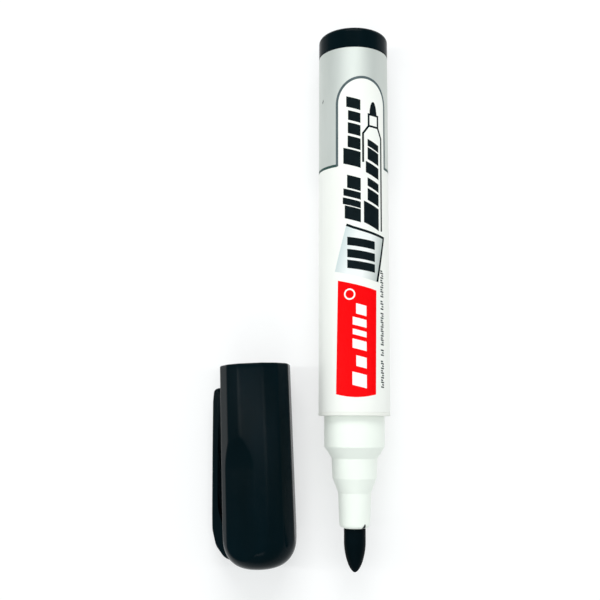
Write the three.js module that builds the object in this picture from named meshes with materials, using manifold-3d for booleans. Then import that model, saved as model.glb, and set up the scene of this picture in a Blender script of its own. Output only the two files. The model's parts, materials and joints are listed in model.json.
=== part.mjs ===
// A whiteboard marker with its cap off: the marker lies along Y, and the cap lies beside it.
// Millimetres, +Z up. The table is z = 0, and the origin is on it under the middle of the pair.
// The marker's end plug is at +Y and its nib at -Y. The cap's mouth is at +Y.
import * as THREE from "three";
import { mergeVertices } from "three/addons/utils/BufferGeometryUtils.js";
import Module from "manifold-3d";

const wasm = await Module();
wasm.setup();

// ---- Driving dimensions ----

const ROUND = 48; // flats round the barrel, plug and nose
const ROUND_CAP = 60; // flats round the cap, before its facets are cut
const ROUND_SMALL = 32; // flats round the nib and the fibre pieces

// Where the two halves of the pair lie. The marker's own y = 0 is the barrel's front end.
const MARKER_AT = { x: 12.45, y: -27 };
const CAP_AT = { x: -10.11, y: -15.6 }; // middle of the cap's mouth
const CAP_YAW = 2.34; // degrees that the cap's closed end swings towards the marker
const CLIP_DROP = 28; // degrees that the clip points below level, away from the marker

// Barrel: a straight tube, with ribs inside that hold the reservoir and leave air round it.
const BARREL_R = 8;
const BARREL_BORE_R = 6.75;
const BARREL_LENGTH = 82.8;
const BARREL_RIM = 0.8; // bare ring in front of the label
const LABEL_THICK = 0.1;
const LABEL_GAP = 0.02;
const BARREL_EDGE = 0.15; // bevel of the front end
const RIB_COUNT = 6;
const RIB_WIDTH = 0.9;
const RIB_FROM = 12;
const RIB_TO = 68;
const RIB_INNER_R = 5.45;
const RIB_ROOT = 0.4; // how far a rib is sunk into the wall

// Nose: the stepped front that the cap slides over. Lengths run from the barrel to the nib.
const COLLAR_1 = { length: 6.7, rear: 6.7, front: 6.68 };
const CONE_1_LENGTH = 2.5;
const COLLAR_2 = { length: 4.3, rear: 5.07, front: 4.84 };
const CONE_2_LENGTH = 3.2;
const COLLAR_3 = { length: 7.5, rear: 3.62, front: 3.36 };
const NOSE_EDGE = 0.85; // rounding of the nose's front edge
const NOSE_WALL = 1.1;
const THROAT_END = 0.6; // how far behind the second collar's front the throat starts to close
const SEAT_STEP = 1.2; // width of the step that the reservoir sits on
const SPIGOT_LENGTH = 9; // how far a plugged-in piece reaches into the barrel
const SPIGOT_BEVEL = 0.4;
const FIT_GAP = 0.05; // clearance on the radius between pieces that fit together

// Nib: a fibre rod with a bullet point.
const NIB_R = 2.38;
const NIB_OUT = 9.45; // length outside the nose
const NIB_POINT = 6.4; // length of the bullet point
const NIB_POINT_POWER = 1.75; // 2 would be an ellipse; less is more pointed
const NIB_IN_RESERVOIR = 6;
const NIB_BEVEL = 0.5; // at its inner end

// Reservoir: a fibre rod in a clear wrap, seated against a step in the nose.
const RESERVOIR_R = 5.2;
const WRAP_R = 5.38;
const RESERVOIR_LENGTH = 70;
const WRAP_GAP = 0.03;
const RESERVOIR_SEAT = -6; // y of the step

// End plug: a head as wide as the barrel, and a hollow spigot with two sealing rings.
const PLUG_HEAD = 4.95;
const PLUG_EDGE = 1.1; // rounding of the head's end edge
const PLUG_SPIGOT = 10.8;
const PLUG_WALL = 1.3;
const PLUG_LEAD = { inset: 0.5, length: 0.8 }; // lead-in at the spigot's end
const PLUG_RING = 0.12; // how far a sealing ring stands out of the spigot
const PLUG_RINGS_AT = [3, 6.5]; // from the spigot's end
const PLUG_RING_WIDTH = { top: 0.4, foot: 1 };

// Cap: wider towards its closed end, twelve-sided, with a rounded end. y = 0 is its mouth.
const CAP_LENGTH = 44.8;
const CAP_MOUTH_R = 8.05; // over the edges between facets
const CAP_WIDE_R = 8.27;
const CAP_DOME = 8.5; // length of the rounded end
const CAP_DOME_POWER = 2.7; // 2 would be an ellipse; more is squarer
const CAP_SLEEVE_R = 6.8; // slides over the nose's first collar
const CAP_SLEEVE = 9.2;
const CAP_SLEEVE_BEVEL = { inset: 0.2, length: 0.4 };
const CAP_BORE_R = 6.1;
const CAP_FLOOR = 42.6; // depth of the cap's inside floor
const CAP_FLOOR_CONE = 4; // length over which the bore narrows to the floor
const CLIP_FACET = [-20, 20]; // degrees round the cap from the clip
const SIDE_FACETS = [ // on one side; mirrored on the other
  [20, 48],
  [48, 76],
  [76, 100],
  [100, 139],
  [139, 166],
];
const RESTING_FACET = SIDE_FACETS[1]; // its mirror image is the flat that the cap lies on
const BACK_FACET = [166, 194];
const GRIP = { middle: 93.8, distance: 6.78 }; // a deeper flat on each side, to pull the cap off by
const GRIP_STARTS = -16.4;
const GRIP_DEEP_FROM = -23.2;

// Liner: the inner cup that closes over the nose's second collar and keeps the nib wet.
const LINER_LIP = 9.9; // depth of its open end below the cap's mouth
const LINER_BORE_R = 5.14;
const LINER_R = 5.9;
const LINER_FOOT_R = 5.35;
const LINER_BEVEL = 0.3; // at its open end
const LINER_TAPER = 0.25; // how much its bore narrows towards the web
const LINER_BORE_END = 37;
const LINER_WEB = 1.2;
const LINER_CORE_R = 4.2;
const LINER_RING = 1.5; // length of the ring that centres it in the cap

// Clip: an arm on a root that stands on the cap. Radial distances are from the cap's axis.
const CLIP_WIDTH = 4;
const CLIP_THICK = 2;
const CLIP_PIVOT = { radial: 10.93, y: -34.6 };
const CLIP_FREE_END = { radial: 9.86, y: -5.7 };
const CLIP_ROOT_FOOT = { radial: 6.5, y: -42.4 }; // inside the wall of the rounded end
const CLIP_GUSSET = 1.6; // how far the root runs up the wall ahead of the pivot
const CLIP_PAD = { from: -12.5, crest: -9.6, to: -8.2, radial: 8 };
const CLIP_ROOT_BULGE = 0.9; // how far the root's curve stands outside the pivot
const KNUCKLE_GAP = 0.08;
const KNUCKLE_ROUND = 12; // straight steps in a knuckle's half circle

// ---- Materials ----

const plastic = (color, roughness) =>
  new THREE.MeshStandardMaterial({ color, roughness, metalness: 0 });
const blackPlastic = () => plastic(0x0c1517, 0.22);
const barrelWhite = () => plastic(0xf3f3ec, 0.35);
const noseWhite = () => plastic(0xeaf0ea, 0.4);
const printedFilm = () => plastic(0xf6f6f1, 0.25);
const clearFilm = () => plastic(0xd9dde0, 0.2);
const inkyFibre = () => plastic(0x15181d, 0.85);
const nibFibre = () => plastic(0x0b1218, 0.6);

// ---- Helpers ----

const radians = THREE.MathUtils.degToRad;

// A closed geometry as a solid that can be joined and cut.
function solid(geometry) {
  const bare = geometry.clone();
  bare.deleteAttribute("normal");
  bare.deleteAttribute("uv");
  const merged = mergeVertices(bare, 1e-4);
  return new wasm.Manifold(
    new wasm.Mesh({
      numProp: 3,
      vertProperties: merged.attributes.position.array,
      triVerts: new Uint32Array(merged.index.array),
    }),
  );
}

// A solid as a named mesh.
function piece(name, body, material) {
  const { vertProperties, triVerts } = body.getMesh();
  const geometry = new THREE.BufferGeometry();
  geometry.setAttribute("position", new THREE.BufferAttribute(vertProperties, 3));
  geometry.setIndex(new THREE.BufferAttribute(triVerts, 1));
  geometry.computeVertexNormals();
  const mesh = new THREE.Mesh(geometry, material);
  mesh.name = name;
  return mesh;
}

// Turns a profile of [radius, y] points round the y axis, with a flat (not an edge) underneath.
// The profile runs up the outside. One that doesn't start on the axis closes on itself.
function turned(profile, sides = ROUND) {
  const points = profile.map(([radius, y]) => new THREE.Vector2(radius, y));
  if (points[0].x > 0) points.push(points[0].clone());
  return solid(new THREE.LatheGeometry(points, sides, Math.PI / sides));
}

// A quarter circle of [radius, y] points from the side of a piece round to its end face.
// side is the piece's radius, end the end face's y, and towards its outward direction, 1 or -1.
function roundedEdge(side, end, rounding, towards, steps = 4) {
  const points = [];
  for (let i = 0; i <= steps; i++) {
    const turn = (i / steps) * (Math.PI / 2);
    points.push([
      side - rounding * (1 - Math.cos(turn)),
      end - towards * rounding * (1 - Math.sin(turn)),
    ]);
  }
  return points;
}

// ---- Marker pieces: y runs from the barrel's front end, + towards the plug ----

function barrel() {
  const labelSeat = BARREL_R - LABEL_THICK - LABEL_GAP;
  let body = turned([
    [BARREL_BORE_R, 0],
    [BARREL_R - BARREL_EDGE, 0],
    [BARREL_R, BARREL_EDGE],
    [BARREL_R, BARREL_RIM],
    [labelSeat, BARREL_RIM],
    [labelSeat, BARREL_LENGTH],
    [BARREL_BORE_R, BARREL_LENGTH],
  ]);
  const ribDepth = BARREL_BORE_R + RIB_ROOT - RIB_INNER_R;
  for (let i = 0; i < RIB_COUNT; i++) {
    const rib = new THREE.BoxGeometry(ribDepth, RIB_TO - RIB_FROM, RIB_WIDTH);
    rib.translate(RIB_INNER_R + ribDepth / 2, (RIB_FROM + RIB_TO) / 2, 0);
    rib.rotateY((i / RIB_COUNT) * 2 * Math.PI);
    body = body.add(solid(rib));
  }
  return body;
}

function labelFilm() {
  const from = BARREL_RIM + LABEL_GAP;
  return turned([
    [BARREL_R - LABEL_THICK, from],
    [BARREL_R, from],
    [BARREL_R, BARREL_LENGTH],
    [BARREL_R - LABEL_THICK, BARREL_LENGTH],
  ]);
}

const COLLAR_1_END = -COLLAR_1.length;
const CONE_1_END = COLLAR_1_END - CONE_1_LENGTH;
const COLLAR_2_END = CONE_1_END - COLLAR_2.length;
const CONE_2_END = COLLAR_2_END - CONE_2_LENGTH;
const NOSE_END = CONE_2_END - COLLAR_3.length;
const SPIGOT_R = BARREL_BORE_R - FIT_GAP;

function noseSection() {
  const cavity = COLLAR_1.rear - NOSE_WALL;
  const throat = COLLAR_2.front - NOSE_WALL;
  const nibBore = NIB_R + FIT_GAP;
  const frontEdge = roundedEdge(COLLAR_3.front, NOSE_END, NOSE_EDGE, -1).reverse();
  return turned([
    [nibBore, NOSE_END],
    ...frontEdge,
    [COLLAR_3.rear, CONE_2_END],
    [COLLAR_2.front, COLLAR_2_END],
    [COLLAR_2.rear, CONE_1_END],
    [COLLAR_1.front, COLLAR_1_END],
    [COLLAR_1.rear, -FIT_GAP],
    [SPIGOT_R, 0],
    [SPIGOT_R, SPIGOT_LENGTH - SPIGOT_BEVEL],
    [SPIGOT_R - SPIGOT_BEVEL, SPIGOT_LENGTH],
    [cavity, SPIGOT_LENGTH],
    [cavity, RESERVOIR_SEAT],
    [cavity - SEAT_STEP, RESERVOIR_SEAT],
    [throat, CONE_1_END],
    [throat, COLLAR_2_END + THROAT_END],
    [nibBore, CONE_2_END],
  ]);
}

function nib() {
  const tip = NOSE_END - NIB_OUT;
  const point = [];
  const steps = 9;
  for (let i = 0; i < steps; i++) {
    const share = Math.sin((i / steps) * (Math.PI / 2)); // of the radius
    const along = 1 - Math.pow(1 - Math.pow(share, NIB_POINT_POWER), 1 / NIB_POINT_POWER);
    point.push([NIB_R * share, tip + NIB_POINT * along]);
  }
  return turned(
    [
      ...point,
      [NIB_R, tip + NIB_POINT],
      [NIB_R, RESERVOIR_SEAT + NIB_IN_RESERVOIR - NIB_BEVEL],
      [NIB_R - NIB_BEVEL, RESERVOIR_SEAT + NIB_IN_RESERVOIR],
      [0, RESERVOIR_SEAT + NIB_IN_RESERVOIR],
    ],
    ROUND_SMALL,
  );
}

function inkReservoir() {
  const front = RESERVOIR_SEAT + FIT_GAP;
  const socket = NIB_R + FIT_GAP;
  return turned(
    [
      [0, RESERVOIR_SEAT + NIB_IN_RESERVOIR + FIT_GAP],
      [socket, RESERVOIR_SEAT + NIB_IN_RESERVOIR + FIT_GAP],
      [socket, front],
      [RESERVOIR_R, front],
      [RESERVOIR_R, front + RESERVOIR_LENGTH],
      [0, front + RESERVOIR_LENGTH],
    ],
    ROUND_SMALL,
  );
}

function reservoirWrap() {
  const front = RESERVOIR_SEAT + FIT_GAP;
  return turned(
    [
      [RESERVOIR_R + WRAP_GAP, front],
      [WRAP_R, front],
      [WRAP_R, front + RESERVOIR_LENGTH],
      [RESERVOIR_R + WRAP_GAP, front + RESERVOIR_LENGTH],
    ],
    ROUND_SMALL,
  );
}

function endPlug() {
  const seam = BARREL_LENGTH + FIT_GAP;
  const end = BARREL_LENGTH + PLUG_HEAD;
  const front = BARREL_LENGTH - PLUG_SPIGOT;
  const groove = SPIGOT_R - PLUG_RING;
  const rings = [];
  const halfTop = PLUG_RING_WIDTH.top / 2;
  const halfFoot = PLUG_RING_WIDTH.foot / 2;
  for (const middle of PLUG_RINGS_AT.map((from) => front + from)) {
    rings.push([groove, middle - halfFoot], [SPIGOT_R, middle - halfTop]);
    rings.push([SPIGOT_R, middle + halfTop], [groove, middle + halfFoot]);
  }
  return turned([
    [groove - PLUG_WALL, front],
    [groove - PLUG_LEAD.inset, front],
    [groove, front + PLUG_LEAD.length],
    ...rings,
    [groove, seam],
    [BARREL_R, seam],
    ...roundedEdge(BARREL_R, end, PLUG_EDGE, 1),
    [0, end],
    [0, end - PLUG_WALL],
    [groove - PLUG_WALL, end - PLUG_WALL],
  ]);
}

// ---- Cap pieces: y = 0 is the mouth, the closed end is at -CAP_LENGTH, and +x is the clip ----

// How far the wide part of the cap leans outwards, as an angle.
const CAP_FLARE = Math.atan2(CAP_WIDE_R - CAP_MOUTH_R, CAP_LENGTH - CAP_DOME);

// A large block whose inner side is the plane of one facet.
function facetBlock([from, to]) {
  const apothem = CAP_MOUTH_R * Math.cos(radians(to - from) / 2);
  const block = new THREE.BoxGeometry(4, 3 * CAP_LENGTH, 2 * CAP_WIDE_R);
  block.translate(2, 0, 0);
  block.rotateZ(CAP_FLARE);
  block.translate(apothem, 0, 0);
  block.rotateY(radians(from + to) / 2);
  return solid(block);
}

// What is cut away for the grip's deeper flat, on the side of the cap that side (1 or -1) says.
function gripBlock(side) {
  const shallow = CAP_MOUTH_R;
  const deep = GRIP.distance - GRIP_DEEP_FROM * Math.tan(CAP_FLARE);
  const beyond = -1.5 * CAP_LENGTH;
  const outline = new THREE.Shape();
  outline.moveTo(shallow, GRIP_STARTS);
  outline.lineTo(deep, GRIP_DEEP_FROM);
  outline.lineTo(deep + (GRIP_DEEP_FROM - beyond) * Math.tan(CAP_FLARE), beyond);
  outline.lineTo(2 * CAP_WIDE_R, beyond);
  outline.lineTo(2 * CAP_WIDE_R, GRIP_STARTS);
  outline.closePath();
  const block = extrudedAcross(outline, 2 * CAP_WIDE_R);
  return solid(block.rotateY(side * radians(GRIP.middle)));
}

// The foot of the clip, as an outline in the plane through the cap's axis.
function clipRoot() {
  const socket = CLIP_THICK / 2 + KNUCKLE_GAP;
  const { radial, y } = CLIP_PIVOT;
  const foot = CLIP_ROOT_FOOT;
  const outline = new THREE.Shape();
  outline.moveTo(foot.radial, y + CLIP_GUSSET);
  outline.lineTo(foot.radial, foot.y);
  outline.quadraticCurveTo(radial + CLIP_ROOT_BULGE, foot.y, radial + socket, y);
  outline.absarc(radial, y, socket, 0, Math.PI, true);
  outline.closePath();
  return solid(extrudedAcross(outline, CLIP_WIDTH));
}

// An outline extruded across the clip's width, which is centred on z = 0.
function extrudedAcross(outline, width) {
  const geometry = new THREE.ExtrudeGeometry(outline, {
    depth: width,
    bevelEnabled: false,
    curveSegments: KNUCKLE_ROUND,
  });
  return geometry.translate(0, 0, -width / 2);
}

function capShell() {
  const dome = [];
  const steps = 7;
  for (let i = 0; i < steps; i++) {
    const share = Math.sin((i / steps) * (Math.PI / 2)); // of the radius
    const up = 1 - Math.pow(1 - Math.pow(share, CAP_DOME_POWER), 1 / CAP_DOME_POWER);
    dome.push([CAP_WIDE_R * share, -CAP_LENGTH + CAP_DOME * up]);
  }
  let shell = turned(
    [
      ...dome,
      [CAP_WIDE_R, -CAP_LENGTH + CAP_DOME],
      [CAP_MOUTH_R, 0],
      [CAP_SLEEVE_R + CAP_SLEEVE_BEVEL.inset, 0],
      [CAP_SLEEVE_R, -CAP_SLEEVE_BEVEL.length],
      [CAP_SLEEVE_R, -CAP_SLEEVE],
      [CAP_BORE_R, -CAP_SLEEVE - CAP_SLEEVE_BEVEL.length],
      [CAP_BORE_R, -CAP_FLOOR + CAP_FLOOR_CONE],
      [LINER_FOOT_R + FIT_GAP, -CAP_FLOOR],
      [0, -CAP_FLOOR],
    ],
    ROUND_CAP,
  );
  const mirrored = SIDE_FACETS.map(([from, to]) => [-to, -from]);
  for (const facet of [CLIP_FACET, ...SIDE_FACETS, BACK_FACET, ...mirrored]) {
    shell = shell.subtract(facetBlock(facet));
  }
  shell = shell.subtract(gripBlock(1)).subtract(gripBlock(-1));
  return shell.add(clipRoot());
}

function capLiner() {
  const foot = -CAP_FLOOR + FIT_GAP;
  const ringR = CAP_BORE_R - FIT_GAP;
  const webTop = -LINER_BORE_END;
  const ringTop = webTop + LINER_RING;
  const neckR = (LINER_FOOT_R + LINER_R) / 2;
  return turned([
    [LINER_CORE_R, foot],
    [LINER_FOOT_R, foot],
    [neckR, webTop - LINER_WEB / 2],
    [ringR, webTop],
    [ringR, ringTop],
    [neckR, ringTop + LINER_WEB / 2],
    [LINER_R, -LINER_LIP - LINER_RING],
    [LINER_R, -LINER_LIP - LINER_BEVEL],
    [LINER_R - LINER_BEVEL, -LINER_LIP],
    [LINER_BORE_R + LINER_BEVEL, -LINER_LIP],
    [LINER_BORE_R, -LINER_LIP - 2 * LINER_BEVEL],
    [LINER_BORE_R - LINER_TAPER, webTop],
    [0, webTop],
    [0, webTop - LINER_WEB],
    [LINER_CORE_R, webTop - LINER_WEB],
  ]);
}

// The arm ends in a half-round knuckle, which turns in the root's socket as the clip bends.
function clipArm() {
  const half = CLIP_THICK / 2;
  const { radial, y } = CLIP_PIVOT;
  const lean = Math.atan2(radial - CLIP_FREE_END.radial, CLIP_FREE_END.y - y);
  const inner = CLIP_FREE_END.radial - half;
  const outline = new THREE.Shape();
  outline.absarc(radial, y, half, Math.PI + lean, 2 * Math.PI + lean, false);
  outline.absarc(CLIP_FREE_END.radial, CLIP_FREE_END.y, half, lean, Math.PI / 2 + lean, false);
  outline.quadraticCurveTo(inner, CLIP_FREE_END.y + half, inner - 0.2, CLIP_PAD.to + 0.8);
  outline.lineTo(CLIP_PAD.radial, CLIP_PAD.to);
  outline.lineTo(CLIP_PAD.radial, CLIP_PAD.crest);
  outline.lineTo(inner + 0.15, CLIP_PAD.from);
  outline.closePath();
  return solid(extrudedAcross(outline, CLIP_WIDTH));
}

// ---- Assembly ----

const marker = new THREE.Group();
marker.position.set(MARKER_AT.x, MARKER_AT.y, BARREL_R * Math.cos(Math.PI / ROUND));
marker.add(
  piece("barrel", barrel(), barrelWhite()),
  piece("label_film", labelFilm(), printedFilm()),
  piece("nose_section", noseSection(), noseWhite()),
  piece("nib", nib(), nibFibre()),
  piece("ink_reservoir", inkReservoir(), inkyFibre()),
  piece("reservoir_wrap", reservoirWrap(), clearFilm()),
  piece("end_plug", endPlug(), blackPlastic()),
);

// The cap is rolled about its own axis until it lies on one facet, clear of the clip, and tipped
// by its flare so that this facet is level.
const rolledCap = new THREE.Group();
rolledCap.rotation.y = radians(180 - CLIP_DROP);
rolledCap.add(
  piece("cap_shell", capShell(), blackPlastic()),
  piece("cap_liner", capLiner(), blackPlastic()),
  piece("cap_clip", clipArm(), blackPlastic()),
);

const tippedCap = new THREE.Group();
tippedCap.rotation.x = -CAP_FLARE;
tippedCap.add(rolledCap);

const restingHalfWidth = radians(RESTING_FACET[1] - RESTING_FACET[0]) / 2;
const cap = new THREE.Group();
cap.position.set(CAP_AT.x, CAP_AT.y, CAP_MOUTH_R * Math.cos(restingHalfWidth));
cap.rotation.z = radians(CAP_YAW);
cap.add(tippedCap);

const whiteboardMarker = new THREE.Group();
whiteboardMarker.add(marker, cap);

export default whiteboardMarker;
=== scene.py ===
import json
import math

import bpy
from mathutils import Matrix, Vector, noise

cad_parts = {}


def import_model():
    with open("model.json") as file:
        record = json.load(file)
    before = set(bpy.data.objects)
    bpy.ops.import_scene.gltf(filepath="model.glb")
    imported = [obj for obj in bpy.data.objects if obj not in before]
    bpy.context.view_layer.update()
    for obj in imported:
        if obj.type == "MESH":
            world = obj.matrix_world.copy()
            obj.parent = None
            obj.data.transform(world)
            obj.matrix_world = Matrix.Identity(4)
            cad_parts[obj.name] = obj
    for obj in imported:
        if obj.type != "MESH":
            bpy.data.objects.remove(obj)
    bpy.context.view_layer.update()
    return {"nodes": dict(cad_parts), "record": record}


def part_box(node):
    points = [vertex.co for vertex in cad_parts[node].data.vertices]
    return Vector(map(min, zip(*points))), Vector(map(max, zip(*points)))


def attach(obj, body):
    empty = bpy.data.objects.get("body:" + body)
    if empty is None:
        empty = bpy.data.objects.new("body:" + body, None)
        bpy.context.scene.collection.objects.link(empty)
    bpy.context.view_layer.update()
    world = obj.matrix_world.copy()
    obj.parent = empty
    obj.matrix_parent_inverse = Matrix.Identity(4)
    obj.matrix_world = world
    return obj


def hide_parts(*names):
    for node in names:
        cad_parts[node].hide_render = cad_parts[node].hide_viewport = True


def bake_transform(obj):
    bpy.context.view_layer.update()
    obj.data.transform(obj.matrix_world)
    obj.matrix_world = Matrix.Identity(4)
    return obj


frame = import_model()

# A whiteboard marker lying beside its cap. Sizes here are in millimetres, and each mesh is made in
# the frame of its own piece and then placed in the row frame, in metres.
MM = 0.001

record = frame["record"]
joint = {j["name"]: j for j in record["behaviour"]["joints"]}
mount = {m["name"]: m for m in record["mounts"]}


# ---- Where the marker and the cap lie ----

def placing(x_axis, y_axis, z_axis, origin):
    """The matrix that takes a piece's own millimetres to the row frame's metres."""
    turn = Matrix((x_axis, y_axis, z_axis)).transposed().to_4x4()
    return Matrix.Translation(origin) @ turn @ Matrix.Scale(MM, 4)


# The marker's own frame: y runs along its axis from the barrel's front end to the plug, z is up.
barrel_low, barrel_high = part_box("barrel")
MARKER = placing(
    Vector((1, 0, 0)),
    Vector((0, 1, 0)),
    Vector((0, 0, 1)),
    Vector((
        (barrel_low.x + barrel_high.x) / 2,
        barrel_low.y,
        (barrel_low.z + barrel_high.z) / 2,
    )),
)
BARREL_R = (barrel_high.z - barrel_low.z) / 2 / MM
BARREL_LENGTH = (barrel_high.y - barrel_low.y) / MM

# The cap's own frame: y runs out of its mouth, x points at the clip, and y = 0 is the mouth.
CLIP_PIVOT = {"radial": 10.93, "y": -34.6}
cap_y = Vector(mount["cap_mouth_rim"]["axis"]).normalized()
cap_z = -Vector(joint["clip_flex"]["axis"]).normalized()
cap_x = cap_y.cross(cap_z).normalized()
cap_mouth = (
    Vector(joint["clip_flex"]["pos_m"])
    - cap_x * CLIP_PIVOT["radial"] * MM
    - cap_y * CLIP_PIVOT["y"] * MM
)
CAP = placing(cap_x, cap_y, cap_z, cap_mouth)


# ---- Mesh helpers ----

def mesh_piece(name, points, faces, place, material, sharp=40):
    """A mesh from points in the piece's own millimetres. It is shaded smooth, except at edges
    that bend by more than sharp, in degrees."""
    mesh = bpy.data.meshes.new(name)
    mesh.from_pydata([place @ Vector(p) for p in points], [], faces)
    mesh.validate()
    piece = bpy.data.objects.new(name, mesh)
    bpy.context.scene.collection.objects.link(piece)
    mesh.shade_smooth()
    mesh.set_sharp_from_angle(angle=math.radians(sharp))
    even = piece.modifiers.new("even_shading", "WEIGHTED_NORMAL")
    even.keep_sharp = True
    mesh.materials.append(material)
    return piece


LONGEST_REACH = 0.49  # of a side that an arc at its corner may take up


def rounded(corners, steps=5):
    """A path of (a, b, rounding) corners as (a, b) points, with an arc at each rounded corner."""
    path = []
    last = len(corners) - 1
    for i, corner in enumerate(corners):
        a, b = corner[0], corner[1]
        rounding = corner[2] if len(corner) > 2 else 0
        if not rounding or i in (0, last):
            path.append((a, b))
            continue
        here = Vector((a, b))
        back = Vector(corners[i - 1][:2]) - here
        on = Vector(corners[i + 1][:2]) - here
        half = back.angle(on) / 2
        reach = min(
            rounding / math.tan(half), LONGEST_REACH * back.length, LONGEST_REACH * on.length
        )
        radius = reach * math.tan(half)
        centre = here + (back.normalized() + on.normalized()).normalized() * (
            radius / math.sin(half)
        )
        start = here + back.normalized() * reach - centre
        end = here + on.normalized() * reach - centre
        sweep = start.angle_signed(end)
        for k in range(steps + 1):
            turn = -sweep * k / steps
            path.append((
                centre.x + start.x * math.cos(turn) - start.y * math.sin(turn),
                centre.y + start.x * math.sin(turn) + start.y * math.cos(turn),
            ))
    return path


def grid_faces(rings, columns, closed_rings=False):
    """Quads between neighbouring rings of points. Each ring goes all the way round."""
    faces = []
    for i in range(rings if closed_rings else rings - 1):
        here, there = i * columns, ((i + 1) % rings) * columns
        for k in range(columns):
            on = (k + 1) % columns
            faces.append((here + k, here + on, there + on, there + k))
    return faces


def turned(name, profile, place, material, sides=192, wobble=None):
    """Turns (radius, y) points about y. The profile runs up the outside and is closed by itself,
    unless it starts and ends on the axis. wobble gives a point's own radius."""
    on_axis = profile[0][0] == 0
    rings = profile[1:-1] if on_axis else profile
    points = []
    for radius, y in rings:
        for k in range(sides):
            angle = 2 * math.pi * (k + 0.5) / sides
            r = radius if wobble is None else wobble(radius, y, angle)
            points.append((r * math.sin(angle), y, r * math.cos(angle)))
    faces = grid_faces(len(rings), sides, closed_rings=not on_axis)
    if on_axis:
        foot, tip = len(points), len(points) + 1
        points += [(0, profile[0][1], 0), (0, profile[-1][1], 0)]
        top = (len(rings) - 1) * sides
        for k in range(sides):
            on = (k + 1) % sides
            faces.append((foot, on, k))
            faces.append((tip, top + k, top + on))
    return mesh_piece(name, points, faces, place, material)


# ---- Materials ----

class Shader:
    """Builds one node material. Fixed values are set on the shader's own sockets."""

    def __init__(self, name):
        self.material = bpy.data.materials.new(name)
        self.material.use_nodes = True
        self.nodes = self.material.node_tree.nodes
        self.links = self.material.node_tree.links
        self.bsdf = self.nodes["Principled BSDF"]

    def add(self, kind, inputs=None, **settings):
        node = self.nodes.new(kind)
        for key, value in settings.items():
            setattr(node, key, value)
        for key, value in (inputs or {}).items():
            if isinstance(value, bpy.types.NodeSocket):
                self.links.new(value, node.inputs[key])
            else:
                node.inputs[key].default_value = value
        return node

    def place(self, scale=(1, 1, 1), shift=(0, 0, 0)):
        """The object's own coordinates, scaled, so that the pattern moves with the piece."""
        coords = self.add("ShaderNodeTexCoord")
        mapping = self.add("ShaderNodeMapping", {
            "Vector": coords.outputs["Object"], "Scale": scale, "Location": shift,
        })
        return mapping.outputs["Vector"]

    def noise(self, size_mm, detail=3.0, rough=0.5, stretch=(1, 1, 1), shift=(0, 0, 0)):
        """Noise between 0 and 1 whose blotches are about size_mm across."""
        scale = tuple(share / (size_mm * MM) for share in stretch)
        node = self.add("ShaderNodeTexNoise", {
            "Vector": self.place(scale, shift), "Scale": 1.0, "Detail": detail, "Roughness": rough,
        })
        return node.outputs["Fac"]

    def ramp(self, factor, stops):
        """A colour that depends on a factor. stops is a list of (position, colour)."""
        node = self.add("ShaderNodeValToRGB", {"Fac": factor})
        elements = node.color_ramp.elements
        while len(elements) < len(stops):
            elements.new(0.5)
        for element, (position, colour) in zip(elements, stops):
            element.position = position
            element.color = colour
        return node.outputs["Color"]

    def spread(self, factor, low, high):
        """Noise as a value between low and high. Most noise lies between 0.25 and 0.75."""
        node = self.add("ShaderNodeMapRange", {
            "Value": factor, "From Min": 0.25, "From Max": 0.75, "To Min": low, "To Max": high,
        })
        return node.outputs["Result"]

    def mix(self, factor, first, second):
        """A colour between two others."""
        node = self.nodes.new("ShaderNodeMix")
        node.data_type = "RGBA"
        sockets = {"Factor": node.inputs[0], "A": node.inputs[6], "B": node.inputs[7]}
        for key, value in (("Factor", factor), ("A", first), ("B", second)):
            if isinstance(value, bpy.types.NodeSocket):
                self.links.new(value, sockets[key])
            else:
                sockets[key].default_value = value
        return node.outputs[2]

    def bump(self, height, depth_mm, after=None):
        inputs = {"Height": height, "Distance": depth_mm * MM, "Strength": 1.0}
        if after is not None:
            inputs["Normal"] = after
        return self.add("ShaderNodeBump", inputs).outputs["Normal"]

    def set(self, **values):
        """Sets or links sockets of the shader, named with _ for a space."""
        for key, value in values.items():
            socket = self.bsdf.inputs[key.replace("_", " ")]
            if isinstance(value, bpy.types.NodeSocket):
                self.links.new(value, socket)
            else:
                socket.default_value = value


def rgb(red, green, blue):
    """An 8-bit sRGB colour as linear values."""
    def linear(c):
        c /= 255
        return c / 12.92 if c <= 0.04045 else ((c + 0.055) / 1.055) ** 2.4
    return (linear(red), linear(green), linear(blue), 1.0)


def moulded(
    name, dark, light, roughness, grain_mm=0.35, grain_depth=0.004, gloss=0.2, handling=0.2
):
    """Moulded plastic: a slow drift of colour, fine grain, and roughness that varies by the
    share that handling says."""
    s = Shader(name)
    drift = s.noise(6, detail=2, stretch=(1, 0.35, 1))
    handled = s.noise(2.2, detail=5, rough=0.6, shift=(3, 1, 2))
    colour = s.mix(s.spread(drift, 0.0, 1.0), dark, light)
    grain = s.noise(grain_mm, detail=4, rough=0.6)
    flow = s.noise(1.6, detail=2, stretch=(1, 0.06, 1), shift=(5, 0, 1))
    normal = s.bump(flow, grain_depth * 1.6)
    normal = s.bump(grain, grain_depth, after=normal)
    s.set(
        Base_Color=colour,
        Roughness=s.spread(handled, roughness * (1 - handling), roughness * (1 + handling)),
        Normal=normal,
        Specular_IOR_Level=gloss,
    )
    return s.material


barrel_plastic = moulded("barrel_plastic", rgb(232, 233, 226), rgb(237, 238, 231), 0.36)
film_white = moulded(
    "film_white", rgb(236, 237, 231), rgb(239, 240, 235), 0.32, 0.8, 0.0004, handling=0.03
)
nose_plastic = moulded("nose_plastic", rgb(235, 240, 232), rgb(240, 245, 237), 0.38)
black_gloss = moulded("black_gloss", rgb(1, 14, 18), rgb(2, 18, 24), 0.2, 0.4, 0.002, gloss=0.04)


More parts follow.
